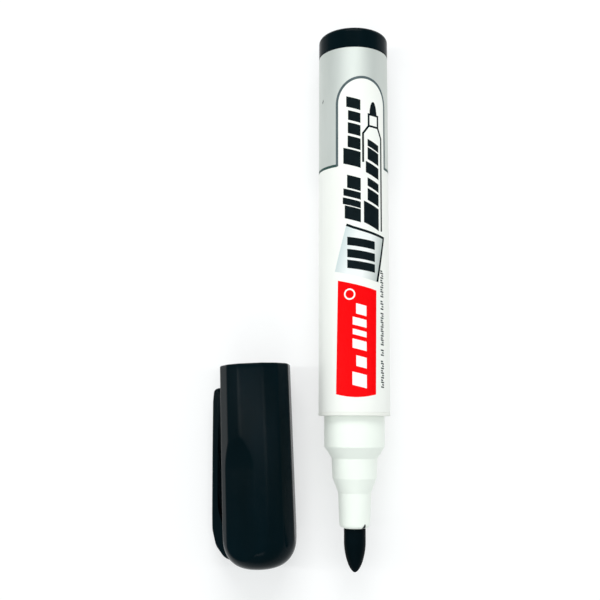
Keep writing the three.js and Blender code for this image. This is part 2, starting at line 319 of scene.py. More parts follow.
def ink(name, dark, light, roughness):
    """Printed ink: a fine halftone-like unevenness in its colour and its gloss."""
    s = Shader(name)
    blotch = s.noise(1.4, detail=4, rough=0.65)
    pores = s.noise(0.16, detail=2)
    s.set(
        Base_Color=s.mix(s.spread(blotch, 0.0, 1.0), dark, light),
        Roughness=s.spread(pores, roughness * 0.85, roughness * 1.2),
        Normal=s.bump(pores, 0.0015),
        Specular_IOR_Level=0.05,
    )
    return s.material


black_ink = ink("black_ink", rgb(6, 17, 20), rgb(14, 26, 30), 0.34)
line_ink = ink("line_ink", rgb(48, 72, 68), rgb(58, 84, 79), 0.34)
slate_ink = ink("slate_ink", rgb(76, 89, 92), rgb(92, 104, 107), 0.34)
red_ink = ink("red_ink", rgb(236, 0, 3), rgb(246, 0, 8), 0.36)
white_ink = ink("white_ink", rgb(240, 240, 238), rgb(243, 243, 242), 0.3)


def silver():
    """Metallic ink: aluminium flakes in a clear varnish."""
    s = Shader("silver_ink")
    flakes = s.noise(0.09, detail=2, rough=0.7)
    drift = s.noise(5, detail=3, stretch=(1, 0.3, 1))
    s.set(
        Base_Color=s.mix(s.spread(drift, 0.0, 1.0), rgb(202, 207, 202), rgb(211, 215, 211)),
        Metallic=0.85,
        Roughness=s.spread(flakes, 0.53, 0.65),
        Normal=s.bump(flakes, 0.004),
        Specular_IOR_Level=0.5,
    )
    return s.material


silver_ink = silver()


def curl_shade():
    """Panel ink that fades from grey at its two sides to white along its middle."""
    s = Shader("panel_shade")
    along = s.add("ShaderNodeAttribute", attribute_name="along")
    pores = s.noise(0.16, detail=2)
    colour = s.ramp(along.outputs["Fac"], [
        (0.0, rgb(199, 211, 211)),
        (0.28, rgb(231, 235, 233)),
        (0.62, rgb(234, 237, 235)),
        (1.0, rgb(180, 188, 184)),
    ])
    s.set(Base_Color=colour, Roughness=s.spread(pores, 0.26, 0.36), Specular_IOR_Level=0.15)
    return s.material


panel_shade = curl_shade()


def fibre(name, dark, light, roughness, sheen):
    """Bundled fibres that run along y: streaks in colour, height and gloss."""
    s = Shader(name)
    streak = s.noise(0.12, detail=3, rough=0.6, stretch=(1, 0.05, 1))
    soak = s.noise(2.5, detail=3)
    normal = s.bump(streak, 0.02)
    s.set(
        Base_Color=s.mix(s.spread(soak, 0.0, 1.0), dark, light),
        Roughness=s.spread(streak, roughness * 0.85, roughness * 1.15),
        Normal=normal,
        Sheen_Weight=sheen,
        Specular_IOR_Level=0.03,
    )
    return s.material


nib_black = fibre("nib_black", rgb(0, 8, 12), rgb(1, 13, 18), 0.5, 0.0)
reservoir_black = fibre("reservoir_black", rgb(18, 20, 24), rgb(30, 33, 38), 0.85, 0.2)
wrap_clear = moulded("wrap_clear", rgb(196, 202, 206), rgb(214, 220, 223), 0.18, 0.6, 0.002)


# ---- The marker's pieces ----

# A corner of a profile is (radius, y), with its rounding as a third number where it has one.

FIT_GAP = 0.05  # clearance on the radius between pieces that fit together
FILM_SUNK = 0.02  # how far the film's outside lies inside the barrel's bare front ring
FILM_R = BARREL_R - FILM_SUNK
FILM_THICK = 0.1
FILM_FRONT = 0.82
FILM_EDGE = 0.04
FILM_BACKING = 0.01  # gap behind the film
BORE_R = 6.75
BORE_LEAD = 0.2  # how much the bore opens at each end
FRONT_EDGE = 0.28
FRONT_START = BORE_R + 0.6  # where the barrel's profile starts, on its flat front end
SPIGOT_R = BORE_R - FIT_GAP
SPIGOT_LENGTH = 9
SEAM_AT = math.radians(150)  # where the film laps over itself, on the side away from the print
SEAM_LAP = math.radians(22)
SEAM_STEP = 0.018
SEAM_SKIN = 0.03  # only the outermost part of the film's thickness is lifted
SEAM_FACE = 1 / 30  # share of the lap over which the film climbs
SEAM_FADE = 1 / 2  # share of the lap over which it comes down again
COLLAR_1_FRONT = (6.67, -6.7)
COLLAR_2_BACK = (5.07, -9.2)
COLLAR_2_FRONT = (4.84, -13.5)
COLLAR_3_BACK = (3.62, -16.7)
NOSE_END = -24.2
NOSE_FRONT_R = 3.36
NOSE_EDGE = 0.85
NOSE_TAPER = 0.035  # how much the last collar widens in each millimetre from its front
NOSE_CAVITY_R = 5.6
NOSE_THROAT_R = 3.74
RESERVOIR_SEAT = -6
SEAT_STEP = 1.2
NIB_R = 2.38
NIB_TIP = NOSE_END - 9.45
NIB_POINT = 6.4
NIB_POWER = 1.75
NIB_BEVEL = 0.5  # at its inner end
PLUG_END = BARREL_LENGTH + 4.95
PLUG_EDGE = 1.1
PLUG_SPIGOT = 10.8
PLUG_WALL = 1.3
PLUG_RING = 0.12  # how far a sealing ring stands out of the spigot
PLUG_RINGS_AT = (3, 6.5)  # from the spigot's end
PLUG_RING_HALF = 0.5
PLUG_DIMPLE = {"from_edge": 2.2, "slope": 0.3, "depth": 0.12}  # in the middle of the end face


def barrel():
    seat = FILM_R - FILM_THICK - FILM_BACKING
    profile = rounded([
        (FRONT_START, 0),
        (BARREL_R, 0, FRONT_EDGE),
        (BARREL_R, FILM_FRONT - 0.03, 0.05),
        (seat, FILM_FRONT - 0.02),
        (seat, BARREL_LENGTH - 0.1),
        (seat - 0.1, BARREL_LENGTH),
        (BORE_R + 0.15, BARREL_LENGTH),
        (BORE_R, BARREL_LENGTH - BORE_LEAD),
        (BORE_R, 0.25),
        (BORE_R + BORE_LEAD, 0),
    ])
    tube = turned("barrel_tube", profile, MARKER, barrel_plastic)
    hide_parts("barrel")
    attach(tube, "marker")


def film_lap(radius, y, angle):
    """The outside of the film steps up over its own edge at the seam."""
    if radius < FILM_R - SEAM_SKIN:
        return radius
    past = (angle - SEAM_AT) / SEAM_LAP
    if not 0 < past < 1:
        return radius
    return radius + SEAM_STEP * min(1, past / SEAM_FACE, (1 - past) / SEAM_FADE)


def film():
    profile = rounded([
        (FILM_R - FILM_THICK, FILM_FRONT),
        (FILM_R, FILM_FRONT, FILM_EDGE),
        (FILM_R, BARREL_LENGTH, FILM_EDGE),
        (FILM_R - FILM_THICK, BARREL_LENGTH),
    ], steps=3)
    skin = turned("label_skin", profile, MARKER, film_white, 240, film_lap)
    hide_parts("label_film")
    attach(skin, "marker")


def nose():
    nib_bore = NIB_R + FIT_GAP
    edge = []
    steps = 12
    for i in range(1, steps + 1):
        bend = math.pi / 2 * i / steps
        edge.append((
            NOSE_FRONT_R - NOSE_EDGE * (1 - math.sin(bend)),
            NOSE_END + NOSE_EDGE * (1 - math.cos(bend)),
        ))
    profile = rounded([
        (nib_bore, NOSE_END + 0.06),
        (nib_bore + 0.03, NOSE_END),
        *edge,
        (*COLLAR_3_BACK, 0.55),
        (*COLLAR_2_FRONT, 0.45),
        (*COLLAR_2_BACK, 0.4),
        (*COLLAR_1_FRONT, 0.4),
        (SPIGOT_R, 0),
        (SPIGOT_R, SPIGOT_LENGTH - 0.4, 0.2),
        (SPIGOT_R - 0.4, SPIGOT_LENGTH, 0.1),
        (NOSE_CAVITY_R, SPIGOT_LENGTH),
        (NOSE_CAVITY_R, RESERVOIR_SEAT),
        (NOSE_CAVITY_R - SEAT_STEP, RESERVOIR_SEAT),
        (NOSE_THROAT_R, COLLAR_2_BACK[1]),
        (NOSE_THROAT_R, COLLAR_2_FRONT[1] + 0.6),
        (nib_bore, COLLAR_3_BACK[1]),
        (nib_bore, NOSE_END + 1.2),
    ], steps=7)
    cone = turned("nose_cone", profile, MARKER, nose_plastic)
    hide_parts("nose_section")
    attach(cone, "marker")


def nib():
    steps = 28
    profile = [(0, NIB_TIP)]
    for i in range(1, steps):
        share = math.sin(i / steps * math.pi / 2)
        along = 1 - (1 - share ** NIB_POWER) ** (1 / NIB_POWER)
        profile.append((NIB_R * share, NIB_TIP + NIB_POINT * along))
    profile += [
        (NIB_R, NIB_TIP + NIB_POINT + 0.4),
        (NIB_R, NOSE_END + 0.2),
        (NIB_R, -NIB_BEVEL),
        (NIB_R - NIB_BEVEL, 0),
        (0, 0),
    ]

    def felted(radius, y, angle):
        """The radius, a little uneven, as fibres don't lie quite level."""
        ridges, stretch, share = 5, 0.35, 0.006
        here = Vector((math.sin(angle) * ridges, y * stretch, math.cos(angle) * ridges))
        return radius * (1 + share * noise.noise(here))

    rod = turned("nib_rod", profile, MARKER, nib_black, 128, felted)
    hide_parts("nib")
    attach(rod, "nib")


SMEAR_AT = 41  # degrees from the top of the nose
SMEAR_HALF = 8.5
SMEAR_LENGTH = 1.05
SMEAR_LEAN = 3.0  # degrees that its thin end lies further round
SMEAR_POINT = 0.4  # degrees, half its width at the thin end
SMEAR_SKIN = (0.02, -0.03)  # its outside and inside, from the nose's surface


def smear():
    """A wedge of ink that has run from the nib on to the front edge of the nose."""
    points, faces = [], []
    rows, columns = 14, 8
    for i in range(rows + 1):
        back = SMEAR_LENGTH * i / rows
        inside = max(0.0, NOSE_EDGE - back)
        radius = NOSE_FRONT_R - NOSE_EDGE + math.sqrt(NOSE_EDGE ** 2 - inside ** 2)
        radius += NOSE_TAPER * back
        half = SMEAR_HALF * (1 - i / rows) ** 0.8 + SMEAR_POINT
        lean = SMEAR_LEAN * i / rows
        for j in range(columns + 1):
            angle = math.radians(SMEAR_AT + lean + half * (2 * j / columns - 1))
            for lift in SMEAR_SKIN:
                r = radius + lift
                points.append((r * math.sin(angle), NOSE_END + back, r * math.cos(angle)))
    stride = 2 * (columns + 1)
    for i in range(rows):
        here, there = stride * i, stride * (i + 1)
        for j in range(0, 2 * columns, 2):
            a, b = here + j, there + j
            faces += [(a, a + 2, b + 2, b)[::-1], (a + 1, b + 1, b + 3, a + 3)[::-1]]
        a, b = here + 2 * columns, there + 2 * columns
        faces += [(here, there, there + 1, here + 1)[::-1], (a, a + 1, b + 1, b)[::-1]]
    last = stride * rows
    for j in range(0, 2 * columns, 2):
        a, b = j, last + j
        faces += [(a, a + 1, a + 3, a + 2)[::-1], (b, b + 2, b + 3, b + 1)[::-1]]
    run = mesh_piece("ink_smear", points, faces, MARKER, black_ink)
    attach(run, "marker")


def plug():
    seam = BARREL_LENGTH + FIT_GAP
    front = BARREL_LENGTH - PLUG_SPIGOT
    groove = SPIGOT_R - PLUG_RING
    dimple_r = BARREL_R - PLUG_DIMPLE["from_edge"]
    corners = [
        (0, PLUG_END - PLUG_WALL),
        (groove - PLUG_WALL, PLUG_END - PLUG_WALL, 0.4),
        (groove - PLUG_WALL, front),
        (groove - 0.5, front, 0.1),
        (groove, front + 0.8, 0.2),
    ]
    for at in PLUG_RINGS_AT:
        corners += [
            (groove, front + at - PLUG_RING_HALF, 0.1),
            (SPIGOT_R, front + at, 0.3),
            (groove, front + at + PLUG_RING_HALF, 0.1),
        ]
    corners += [
        (groove, seam),
        (BARREL_R - 0.01, seam, 0.1),
        (BARREL_R, seam + 0.6, 0.5),
        (BARREL_R, PLUG_END, PLUG_EDGE),
        (dimple_r, PLUG_END, 0.1),
        (dimple_r - PLUG_DIMPLE["slope"], PLUG_END - PLUG_DIMPLE["depth"], 0.1),
        (0, PLUG_END - PLUG_DIMPLE["depth"]),
    ]
    cork = turned("end_cap_plug", rounded(corners, steps=6), MARKER, black_gloss)
    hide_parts("end_plug")
    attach(cork, "plug")


# ---- The print on the label ----
# u runs across the label in millimetres from the middle of the print, and v along the barrel from
# its front end. Each colour of ink is one mesh of thin closed patches that wrap round the film.

PRINT_MIDDLE = 19.5  # degrees from the top of the barrel
MM_PER_DEGREE = 0.13963  # round a circle of 8 mm radius
ROUND_ONCE = 360 * MM_PER_DEGREE
UNDER, SHADE, OVER, TOP = 0.004, 0.007, 0.010, 0.013  # how far each layer stands off the film
SUNK = 0.02  # how far the back of each patch lies inside the film
CELL = 0.25  # the widest that a flat cell of print is


class Ink:
    """The patches of one colour, in one layer."""

    def __init__(self, name, material, height):
        self.name, self.material, self.height = name, material, height
        self.points, self.faces, self.along = [], [], []

    def at(self, u, v, raised):
        angle = math.radians(PRINT_MIDDLE + u / MM_PER_DEGREE)
        radius = FILM_R + (self.height if raised else -SUNK)
        return (radius * math.sin(angle), v, radius * math.cos(angle))

    def strip(self, rows, closed=False):
        """A patch between two edges: rows is a list of ((u, v), (u, v)) pairs along it.
        A closed one runs from its last row back to its first. Rows are added, and each is split
        across, until every cell is narrow enough to follow the curve of the film."""
        pairs = [(Vector(left), Vector(right)) for left, right in rows]
        turns = list(zip(pairs, pairs[1:] + pairs[:1])) if closed else list(zip(pairs, pairs[1:]))
        dense = []
        for (left, right), (next_left, next_right) in turns:
            lap = Vector((round((next_left.x - left.x) / ROUND_ONCE) * ROUND_ONCE, 0))
            next_left, next_right = next_left - lap, next_right - lap
            spread = max(abs(next_left.x - left.x), abs(next_right.x - right.x))
            parts = max(1, math.ceil(spread / CELL))
            for k in range(parts):
                share = k / parts
                dense.append((left.lerp(next_left, share), right.lerp(next_right, share)))
        if not closed:
            dense.append(pairs[-1])
        cells = max(1, math.ceil(max(abs(b.x - a.x) for a, b in dense) / CELL))
        first, count, stride = len(self.points), len(dense), 2 * (cells + 1)
        for i, (left, right) in enumerate(dense):
            for j in range(cells + 1):
                u, v = left.lerp(right, j / cells)
                self.points += [self.at(u, v, True), self.at(u, v, False)]
                self.along += [i / (count - 1)] * 2
        for i in range(count if closed else count - 1):
            here, there = first + stride * i, first + stride * ((i + 1) % count)
            for j in range(0, 2 * cells, 2):
                a, b = here + j, there + j
                self.faces += [(a, a + 2, b + 2, b), (a + 1, b + 1, b + 3, a + 3)]
            a, b = here + 2 * cells, there + 2 * cells
            self.faces += [(here, there, there + 1, here + 1), (a, a + 1, b + 1, b)]
        if not closed:
            last = first + stride * (count - 1)
            for j in range(0, 2 * cells, 2):
                a, b = first + j, last + j
                self.faces += [(a, a + 1, a + 3, a + 2), (b, b + 2, b + 3, b + 1)]

    def between(self, low_u, high_u, lower, upper):
        """The area between two curves of v over u."""
        count = max(1, math.ceil((high_u - low_u) / CELL))
        rows = []
        for i in range(count + 1):
            u = low_u + (high_u - low_u) * i / count
            rows.append(((u, upper(u)), (u, lower(u))))
        self.strip(rows)

    def stroke(self, path, width, closed=False):
        """A line of that width along a path of (u, v) points. Sharp corners are cut short."""
        points = [Vector(p) for p in path]
        count = len(points)
        rows = []
        for i, here in enumerate(points):
            back = points[i - 1] if closed or i else None
            on = points[(i + 1) % count] if closed or i < count - 1 else None
            into = (here - back).normalized() if back is not None else None
            out = (on - here).normalized() if on is not None else None
            along = (into or out) + (out or into)
            along.normalize()
            side = Vector((-along.y, along.x))
            straight = into or out
            reach = width / 2 / max(0.5, side.dot(Vector((-straight.y, straight.x))))
            rows.append((tuple(here + side * reach), tuple(here - side * reach)))
        self.strip(rows, closed)

    def block(self, low_u, high_u, low_v, high_v, slope):
        """A slanted block. Its v is given at its right edge, and it climbs to the left."""
        climb = slope * (high_u - low_u)
        self.strip([
            ((low_u, high_v + climb), (low_u, low_v + climb)),
            ((high_u, high_v), (high_u, low_v)),
        ])

    def sheet(self, top, foot, count, top_sag, foot_sag):
        """A four-sided patch. Each edge is given by its left and right corner, and it sags
        towards the barrel's front end along its middle."""
        top = [Vector(corner) for corner in top]
        foot = [Vector(corner) for corner in foot]
        rows = []
        for i in range(count + 1):
            share = i / count
            sag = math.sin(math.pi * share)
            rows.append((
                top[0].lerp(top[1], share) - Vector((0, top_sag * sag)),
                foot[0].lerp(foot[1], share) - Vector((0, foot_sag * sag)),
            ))
        self.strip(rows)

    def piece(self):
        patch = mesh_piece(self.name, self.points, self.faces, MARKER, self.material, sharp=30)
        share = patch.data.attributes.new("along", "FLOAT", "POINT")
        share.data.foreach_set("value", self.along)
        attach(patch, "marker")


ARCH_HALF = 6.14  # half the width of the white arch that the silver leaves free
ARCH_V = 69.55  # where its round top begins
ARCH_LINE = 0.6
RING_V = 55.4  # the front edge of the silver
RING_LINE_HALF = 0.3
LINE_LAP = 0.2  # how far the arch's line runs past the ring's
SILVER_END = BARREL_LENGTH - 0.02
SILVER_GAP = 0.004  # keeps the two stretches of the band apart where they meet


def arch_top(u):
    return ARCH_V + math.sqrt(max(0.0, ARCH_HALF ** 2 - u * u))


def arch_path():
    path = [(-ARCH_HALF, RING_V - LINE_LAP), (-ARCH_HALF, ARCH_V)]
    steps = 48
    for i in range(1, steps):
        turn = math.pi * (1 - i / steps)
        path.append((ARCH_HALF * math.cos(turn), ARCH_V + ARCH_HALF * math.sin(turn)))
    return path + [(ARCH_HALF, ARCH_V), (ARCH_HALF, RING_V - LINE_LAP)]


def print_silver():
    """The band goes all the way round except for the arch."""
    band = Ink("print_silver", silver_ink, UNDER)
    rows = []
    arch_steps, round_steps = 64, 150
    for i in range(arch_steps + 1):
        u = -ARCH_HALF * math.cos(math.pi * i / arch_steps)
        rows.append(((u, SILVER_END), (u, arch_top(u))))
    way_round = ROUND_ONCE - 2 * (ARCH_HALF + SILVER_GAP)
    for i in range(round_steps + 1):
        u = ARCH_HALF + SILVER_GAP + way_round * i / round_steps
        rows.append(((u, SILVER_END), (u, RING_V)))
    band.strip(rows, closed=True)
    band.piece()


def print_lines():
    ring = Ink("print_ring_line", line_ink, OVER)
    ring.between(
        ARCH_HALF,
        ROUND_ONCE - ARCH_HALF,
        lambda u: RING_V - RING_LINE_HALF,
        lambda u: RING_V + RING_LINE_HALF,
    )
    ring.piece()
    arch = Ink("print_arch_line", slate_ink, OVER)
    arch.stroke(arch_path(), ARCH_LINE)
    arch.piece()


WORD_1 = [  # low v and high v at the right edge, and the left edge
    (67.9, 70.35, -3.9),
    (64.95, 67.2, -3.5),
    (61.85, 64.4, -3.55),
    (58.65, 61.3, -3.6),
    (54.6, 58.25, -4.6),
    (49.3, 52.25, -3.75),
    (47.35, 48.95, -4.6),
    (45.4, 46.9, -4.75),
    (42.25, 45.2, -4.3),
]
WORD_2 = [
    (58.6, 60.2, 0.95),
    (55.5, 58.3, 0.95),
    (52.3, 54.9, 0.5),
    (49.4, 51.3, 0.9),
    (46.15, 48.9, 0.9),
    (40.7, 45.6, 0.0),
]
WORD_1_RIGHT, WORD_1_SLOPE = -0.7, 0.27
WORD_2_RIGHT, WORD_2_SLOPE = 3.87, 0.42

# The outline of a marker, from its tip down.
TIP_LEFT, TIP_RIGHT = 1.5, 3.45
TIP_FOOT = 67.1
TIP_SLANT = 0.08
TIP_HALF = 0.98
TIP_MIDDLE = 2.42
TIP_HEIGHT = 3.1
OUTLINE = 0.46
COLLAR_LINE = [(1.25, 64.45), (1.25, 67.15), (3.7, 67.0), (3.7, 64.3)]
BODY_LINE = [(-0.12, 56.0), (-0.12, 62.6), (1.25, 64.45), (3.7, 64.3), (4.75, 62.0), (4.72, 40.7)]

BARS = (36.3, 33.6, 31.2)
BAR = {"left": -3.75, "right": 2.65, "height": 1.85, "slope": 0.14}
PANEL_LINE = 0.56
PANEL_EDGE = [
    (-3.95, 41.75), (-2.3, 41.1), (-0.6, 40.62), (1.1, 40.2),
    (3.2, 39.72), (5.46, 39.3), (5.1, 37.6), (3.3, 29.25),
]

TICK_GROUPS = ((5.95, 12.05), (12.9, 14.45), (15.2, 22.5), (23.0, 25.25), (25.8, 31.98))
TICK_PITCH = 0.5
TICK = {"left": 4.25, "right": 5.25, "half": 0.15, "slope": 0.12}
TICK_CUT_LEFT, TICK_CUT_RIGHT = 0.36, 0.32  # how much shorter one tick in four is, at either end

NICK = (-10.95, -10.5, 71.45, 71.95, -1.4)  # in the silver, where it has rubbed


def tip_top(u):
    """The rounded top of the marker's tip in the outline."""
    across = min(1.0, abs(u - TIP_MIDDLE) / TIP_HALF)
    return TIP_FOOT + TIP_HEIGHT * (1 - across ** 2.2) ** 0.6


def print_black():
    marks = Ink("print_black", black_ink, TOP)
    for low, high, left in WORD_1:
        marks.block(left, WORD_1_RIGHT, low, high, WORD_1_SLOPE)
    for low, high, left in WORD_2:
        marks.block(left, WORD_2_RIGHT, low, high, WORD_2_SLOPE)

    def tip_foot(u):
        return TIP_FOOT - TIP_SLANT * (u - TIP_LEFT)

    marks.between(TIP_LEFT, TIP_RIGHT, tip_foot, tip_top)
    marks.stroke(COLLAR_LINE, OUTLINE)
    marks.stroke(BODY_LINE, OUTLINE)

    # Three bold bars on the curl panel, and the panel's edge.
    for low in BARS:
        marks.block(BAR["left"], BAR["right"], low, low + BAR["height"], BAR["slope"])
    marks.stroke(PANEL_EDGE, PANEL_LINE)

    # Ticks in place of the small print. Some of them are shorter at one end.
    for low, high in TICK_GROUPS:
        count = round((high - low) / TICK_PITCH)
        for i in range(count):
            v = low + (high - low) * (i + 0.5) / count
            left = TICK["left"] + (TICK_CUT_LEFT if i % 4 == 1 else 0.0)
            right = TICK["right"] - (TICK_CUT_RIGHT if i % 4 == 3 else 0.0)
            marks.block(left, right, v - TICK["half"], v + TICK["half"], TICK["slope"])

    marks.block(*NICK)
    marks.piece()


PANEL_TOP = ((-3.95, 41.7), (5.46, 39.25))
PANEL_FOOT = ((-6.7, 31.45), (3.1, 29.2))
PANEL_SAG = 0.35


def print_panel():
    """The curl panel, a leaning patch behind the three bars."""
    panel = Ink("print_panel", panel_shade, SHADE)
    panel.sheet(PANEL_TOP, PANEL_FOOT, 48, PANEL_SAG, 0)
    panel.piece()


FIELD_TOP = ((-5.95, 29.4), (3.02, 27.3))
FIELD_FOOT = ((-6.45, 4.62), (2.72, 4.62))
FIELD_SAG = 0.6


def print_red():
    """The red field behind the white blocks."""
    field = Ink("print_red", red_ink, SHADE)
    field.sheet(FIELD_TOP, FIELD_FOOT, 36, 0, FIELD_SAG)
    field.piece()


BADGE = [  # low v and high v at the right edge, and the left edge
    (5.9, 8.75, -2.7),
    (10.15, 12.45, -1.85),
    (13.9, 15.9, -2.65),
    (16.85, 18.05, -2.6),
    (18.95, 20.65, -2.6),
    (21.5, 23.75, -1.85),
]
BADGE_RIGHT, BADGE_SLOPE = 0.45, 0.24
SIGN_MIDDLE = Vector((-3.25, 26.3))  # a small ring beside the blocks
SIGN_R = 1.08
SIGN_LINE = 0.32


def print_white():
    marks = Ink("print_white", white_ink, OVER)
    for low, high, left in BADGE:
        marks.block(left, BADGE_RIGHT, low, high, BADGE_SLOPE)
    steps = 40
    ring = []
    for i in range(steps):
        turn = 2 * math.pi * i / steps
        ring.append((
            SIGN_MIDDLE.x + SIGN_R * math.cos(turn),
            SIGN_MIDDLE.y + SIGN_R * math.sin(turn),
        ))
    marks.stroke(ring, SIGN_LINE, closed=True)
    marks.piece()


# ---- The cap ----

CAP_LENGTH = 44.8
CAP_MOUTH_R = 8.05
CAP_WIDE_R = 8.27
CAP_DOME = 8.5
CAP_DOME_POWER = 2.7
CAP_FLARE = (CAP_WIDE_R - CAP_MOUTH_R) / (CAP_LENGTH - CAP_DOME)
CAP_BORE_R = 6.1
CAP_FLOOR = 42.6
FACETS = [(-20, 20), (20, 48), (48, 76), (76, 100), (100, 139), (139, 166), (166, 194)]
FACETS += [(-high, -low) for low, high in FACETS[1:6]]
GRIP_TURN = 93.8  # degrees from the clip to the middle of each grip flat
GRIP_DEPTH = 6.78  # from the axis to the grip flat, at the mouth's end
GRIP_FROM = 16.4
GRIP_TO = 23.2
GRIP_RUN_IN = 1.18
GRIP_REACH = 1.5  # how far ahead of GRIP_FROM the grip's run-in is worked out
MOUTH_EDGE = 0.45
SLEEVE_R = 6.8
SLEEVE_DEPTH = 9.2
FLOOR_CONE = 4  # length over which the bore narrows to the floor
EDGE_SOFTNESS = 110  # more is sharper
FACING_LIMIT = 0.3  # a flat that turns further away than this doesn't shape the point


def flats(depth):
    """(direction, distance from the axis) of each flat of the cap at that depth."""
    flare = CAP_FLARE * depth
    planes = []
    for low, high in FACETS:
        half = math.radians(high - low) / 2
        planes.append((math.radians(low + high) / 2, CAP_MOUTH_R * math.cos(half) + flare))
    if depth > GRIP_FROM - GRIP_REACH:
        left = max(0.0, (GRIP_TO - depth) / (GRIP_TO - GRIP_FROM))
        distance = GRIP_DEPTH + GRIP_RUN_IN * left * left + flare
        for side in (1, -1):
            planes.append((side * math.radians(GRIP_TURN), distance))
    return planes


def cap_radius(turn, depth, dome):
    """How far the cap's outside is from its axis. Each edge between flats is slightly rounded."""
    total = 0.0 if dome is None else dome ** -EDGE_SOFTNESS
    for direction, distance in flats(depth):
        facing = math.cos(turn - direction)
        if facing > FACING_LIMIT:
            total += (distance / facing) ** -EDGE_SOFTNESS
    return total ** (-1 / EDGE_SOFTNESS)


def cap_shell():
    columns = 480
    turns = [2 * math.pi * k / columns for k in range(columns)]
    rings = []

    def ring(depth, radii):
        rings.append([(r * math.cos(t), -depth, -r * math.sin(t)) for r, t in zip(radii, turns)])

    # The dome, from the pole outwards.
    steps = 44
    for i in range(steps - 1, 0, -1):
        tilt = i / steps * math.pi / 2
        depth = CAP_LENGTH - CAP_DOME + CAP_DOME * math.sin(tilt) ** (2 / CAP_DOME_POWER)
        dome = CAP_WIDE_R * math.cos(tilt) ** (2 / CAP_DOME_POWER)
        ring(depth, [cap_radius(t, depth, dome) for t in turns])
    # The long part.
    depth = CAP_LENGTH - CAP_DOME
    fine, coarse = 0.25, 0.9
    while depth > MOUTH_EDGE + 0.15:
        ring(depth, [cap_radius(t, depth, None) for t in turns])
        depth -= fine if GRIP_FROM - 2.2 < depth < GRIP_TO + 1 else coarse
    # The mouth: rounded outside edge, flat rim, then the inside.
    steps = 5
    for i in range(steps + 1):
        bend = i / steps * math.pi / 2
        depth = MOUTH_EDGE * (1 - math.sin(bend))
        inset = MOUTH_EDGE * (1 - math.cos(bend))
        ring(depth, [cap_radius(t, depth, None) - inset for t in turns])
    inside = rounded([
        (SLEEVE_R + 0.3, 0),
        (SLEEVE_R + 0.2, 0, 0.1),
        (SLEEVE_R, 0.4, 0.1),
        (SLEEVE_R, SLEEVE_DEPTH),
        (CAP_BORE_R, SLEEVE_DEPTH + 0.4),
        (CAP_BORE_R, CAP_FLOOR - FLOOR_CONE),
        (5.4, CAP_FLOOR),
        (0.5, CAP_FLOOR),
    ])
    for radius, depth in inside[1:]:
        ring(depth, [radius] * columns)
    points = [p for one in rings for p in one]
    faces = grid_faces(len(rings), columns)
    pole, bottom = len(points), len(points) + 1
    points += [(0, -CAP_LENGTH, 0), (0, -CAP_FLOOR, 0)]
    last = (len(rings) - 1) * columns
    for k in range(columns):
        on = (k + 1) % columns
        faces.append((pole, on, k))
        faces.append((bottom, last + k, last + on))
    shell = mesh_piece("cap_body", points, faces, CAP, black_gloss, sharp=60)
    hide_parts("cap_shell")
    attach(shell, "cap")


LINER_R = 5.9
LINER_BORE_R = 5.14
LINER_TAPER = 0.25  # how much its bore narrows towards the web
LINER_LIP = 9.9  # depth of its open end
LINER_WEB = 37
LINER_WEB_THICK = 1.2
LINER_CORE_R = 4.2
LINER_RING = 1.5  # length of the ring that centres it in the cap
LINER_WAIST_R = 5.62


def cap_liner():
    web = -LINER_WEB
    lip = -LINER_LIP
    foot = -CAP_FLOOR + FIT_GAP
    ring_r = CAP_BORE_R - FIT_GAP
    profile = rounded([
        (0, web - LINER_WEB_THICK),
        (LINER_CORE_R, web - LINER_WEB_THICK, 0.3),
        (LINER_CORE_R, foot),
        (5.35, foot, 0.15),
        (LINER_WAIST_R, web - 0.6, 0.2),
        (ring_r, web, 0.1),
        (ring_r, web + LINER_RING, 0.1),
        (LINER_WAIST_R, web + LINER_RING + 0.6, 0.2),
        (LINER_R, lip - 1.5),
        (LINER_R, lip - 0.3, 0.2),
        (LINER_R - 0.3, lip, 0.1),
        (LINER_BORE_R + 0.3, lip, 0.1),
        (LINER_BORE_R, lip - 0.6, 0.2),
        (LINER_BORE_R - LINER_TAPER, web, 0.4),
        (0, web),
    ])
    cup = turned("cap_inner_cup", profile, CAP, black_gloss, 160)
    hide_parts("cap_liner")
    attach(cup, "cap")


CLIP_HALF = 2.0
CLIP_ROUNDING = 0.45
CLIP_STEP = 0.8  # the longest stretch of outline between two points


def clip_outline():
    """The clip seen from its side, as (radial, y) points that run round it."""
    outside = [
        (9.2, -4.7, 0.5), (10.75, -5.0, 1.5), (11.16, -7.9, 2), (11.62, -18.9), (12.12, -33.2, 4),
        (12.15, -36.6, 4), (11.2, -40.1, 3), (8.8, -42.7, 3), (6.3, -43.3),
    ]
    inside = [
        (6.0, -42.9), (6.7, -41.0), (7.0, -38.4), (7.0, -33.6), (7.9, -33.2, 0.5),
        (9.7, -32.6, 1.3), (9.72, -28.0, 2), (9.4, -18.9), (9.05, -12.6, 2), (8.02, -9.8, 0.8),
        (8.02, -8.4, 0.4), (8.55, -7.2, 0.6), (8.75, -5.5, 0.5),
    ]
    corners = outside + inside
    path = rounded([(8.95, -4.95)] + corners, steps=7)
    dense = []
    for i, here in enumerate(path):
        on = path[(i + 1) % len(path)]
        gap = math.dist(here, on)
        count = max(1, math.ceil(gap / CLIP_STEP))
        for k in range(count):
            share = k / count
            dense.append(Vector(here).lerp(Vector(on), share))
    return dense


